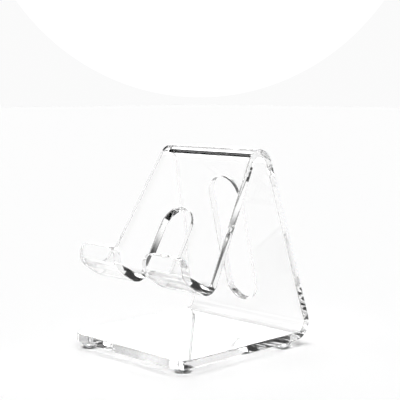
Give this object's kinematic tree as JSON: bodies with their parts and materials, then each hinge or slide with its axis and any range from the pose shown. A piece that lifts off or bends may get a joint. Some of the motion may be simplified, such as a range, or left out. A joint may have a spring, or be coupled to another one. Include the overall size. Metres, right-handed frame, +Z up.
{
  "type": "phone stand",
  "caption": "Clear acrylic desktop phone stand, heat-bent from one strip, with a leaning backrest, two front lips, a cable slot and cable hole, on stick-on bumper feet.",
  "frame": {"origin": "On the table under the middle of the base plate: the bottom centre of the whole object's box, where the feet touch Z = 0.", "axes": "+Z is up. +Y points to the back, from the lips to the rear bend, and the phone's screen faces -Y and up. +X is the user's right."},
  "size_m": [0.078, 0.0855, 0.0957],
  "materials": {
    "clear_acrylic": "clear polished acrylic sheet, flame-polished edges",
    "bumper_polyurethane": "clear moulded polyurethane, smooth",
    "adhesive": "clear pressure-sensitive adhesive disc"
  },
  "bodies": {
    "root": {"acrylic_strip": "clear_acrylic", "foot_front_left": "bumper_polyurethane", "foot_front_right": "bumper_polyurethane", "foot_rear_left": "bumper_polyurethane", "foot_rear_right": "bumper_polyurethane", "tape_front_left": "adhesive", "tape_front_right": "adhesive", "tape_rear_left": "adhesive", "tape_rear_right": "adhesive"}
  },
  "joints": []
}
